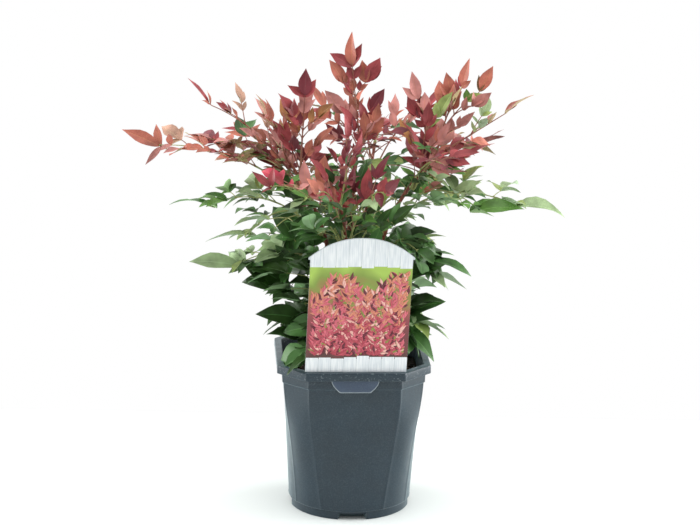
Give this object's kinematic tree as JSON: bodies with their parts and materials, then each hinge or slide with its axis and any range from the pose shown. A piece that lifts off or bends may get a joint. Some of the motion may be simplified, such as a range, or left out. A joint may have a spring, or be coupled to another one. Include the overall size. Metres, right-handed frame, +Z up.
{
  "type": "potted heavenly bamboo",
  "caption": "Young heavenly bamboo with red crown and green lower leaves, in a dark square nursery pot with rounded corners and an upright picture label.",
  "frame": {"origin": "centre of the pot's flat underside", "axes": "+Z up, -Y towards the front where the label stands, +X to the right seen from the front"},
  "size_m": [0.4802, 0.3408, 0.5311],
  "materials": {
    "pot_plastic": "injection-moulded polypropylene, dark blue-grey, satin, a little dusty",
    "potting_soil": "damp bark and peat crumbs, matte",
    "label_card": "printed plastic sheet, smooth",
    "stem_bark": "thin ribbed cane bark, red-brown, satin",
    "leaf_red": "young leaflets, crimson to rose, satin",
    "leaf_green": "grown leaflets, bright to mid green, satin",
    "leaf_dark": "old leaflets, dark green with a bronze tinge, glossy"
  },
  "bodies": {
    "root": {"pot": "pot_plastic", "soil": "potting_soil", "label": "label_card", "main_stem": "stem_bark", "right_stem": "stem_bark", "left_stem": "stem_bark", "back_stem": "stem_bark", "front_stem": "stem_bark", "crest_leaf_1": "leaf_red", "crest_leaf_2": "leaf_red", "crest_leaf_3": "leaf_red", "crest_leaf_4": "leaf_red", "crest_leaf_5": "leaf_red", "crest_leaf_6": "leaf_red", "crest_leaf_7": "leaf_red", "crest_leaf_8": "leaf_red", "upper_leaf_1": "leaf_red", "upper_leaf_2": "leaf_red", "upper_leaf_3": "leaf_red", "upper_leaf_4": "leaf_red", "upper_leaf_5": "leaf_red", "upper_leaf_6": "leaf_red", "upper_leaf_7": "leaf_red", "upper_leaf_8": "leaf_red", "red_leaf_1": "leaf_red", "red_leaf_2": "leaf_red", "red_leaf_3": "leaf_red", "red_leaf_4": "leaf_red", "red_leaf_5": "leaf_red", "red_leaf_6": "leaf_red", "red_leaf_7": "leaf_red", "red_leaf_8": "leaf_red", "red_leaf_9": "leaf_red", "red_leaf_10": "leaf_red", "red_leaf_11": "leaf_red", "green_leaf_1": "leaf_green", "green_leaf_2": "leaf_green", "green_leaf_3": "leaf_green", "green_leaf_4": "leaf_green", "green_leaf_5": "leaf_green", "green_leaf_6": "leaf_green", "green_leaf_7": "leaf_green", "green_leaf_8": "leaf_green", "green_leaf_9": "leaf_green", "green_leaf_10": "leaf_green", "low_leaf_1": "leaf_dark", "low_leaf_2": "leaf_dark", "low_leaf_3": "leaf_dark", "low_leaf_4": "leaf_dark", "low_leaf_5": "leaf_dark", "low_leaf_6": "leaf_dark", "low_leaf_7": "leaf_dark", "rim_leaf_1": "leaf_dark", "rim_leaf_2": "leaf_dark", "rim_leaf_3": "leaf_dark", "rim_leaf_4": "leaf_dark", "rim_leaf_5": "leaf_dark", "rim_leaf_6": "leaf_dark", "rim_leaf_7": "leaf_dark"}
  },
  "joints": []
}
